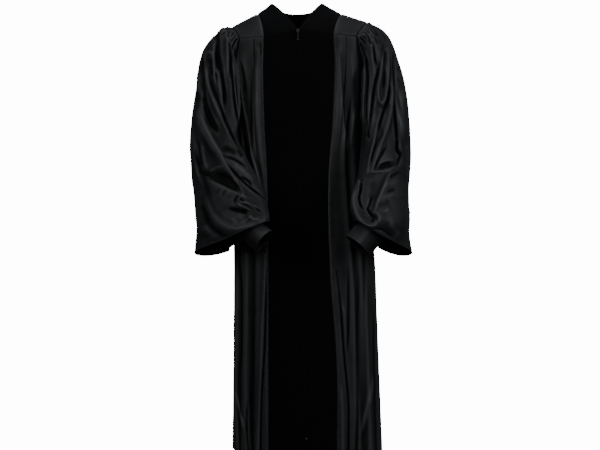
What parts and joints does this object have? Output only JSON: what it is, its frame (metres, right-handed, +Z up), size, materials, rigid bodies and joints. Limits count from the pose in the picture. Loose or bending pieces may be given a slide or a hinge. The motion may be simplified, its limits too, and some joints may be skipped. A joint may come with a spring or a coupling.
{
  "type": "pulpit robe",
  "caption": "Worn pulpit robe, hollow: velvet bands beside a full-length front zip, shoulder yokes, pleated fronts, fluted back, bell sleeves over bent arms, and inner sleeves with cuffs.",
  "frame": {"origin": "the middle of the neck opening, level with the points where the shoulders meet the neck, where the wearer holds the robe up", "axes": "+Z up, -Y towards the robe's front, +X towards the wearer's left"},
  "size_m": [0.6205, 0.4551, 1.2558],
  "materials": {
    "satin": "black satin-weave polyester with a soft sheen",
    "velvet": "black short-pile velvet, matt",
    "zip_tape": "black woven polyester tape",
    "zip_chain": "black moulded coil",
    "zip_metal": "dark plated metal, worn bright on its ends"
  },
  "bodies": {
    "robe": {"velvet_right": "velvet", "velvet_left": "velvet", "velvet_neck": "velvet", "yoke_front_right": "satin", "yoke_front_left": "satin", "yoke_back": "satin", "front_right": "satin", "front_left": "satin", "back": "satin", "sleeve_right": "satin", "sleeve_left": "satin", "inner_sleeve_right": "satin", "inner_sleeve_left": "satin", "cuff_right": "satin", "cuff_left": "satin", "zip_tape_right": "zip_tape", "zip_tape_left": "zip_tape", "zip_chain": "zip_chain", "zip_stop": "zip_metal", "zip_slider": "zip_metal"},
    "zip_pull": {"zip_pull": "zip_metal"}
  },
  "joints": [
    {"name": "pull_swing", "type": "hinge", "parent": "robe", "child": "zip_pull", "pos_m": [-0.0005, -0.11727, -0.09551], "axis": [-1, 0, 0], "range_deg": [0, 160]}
  ]
}
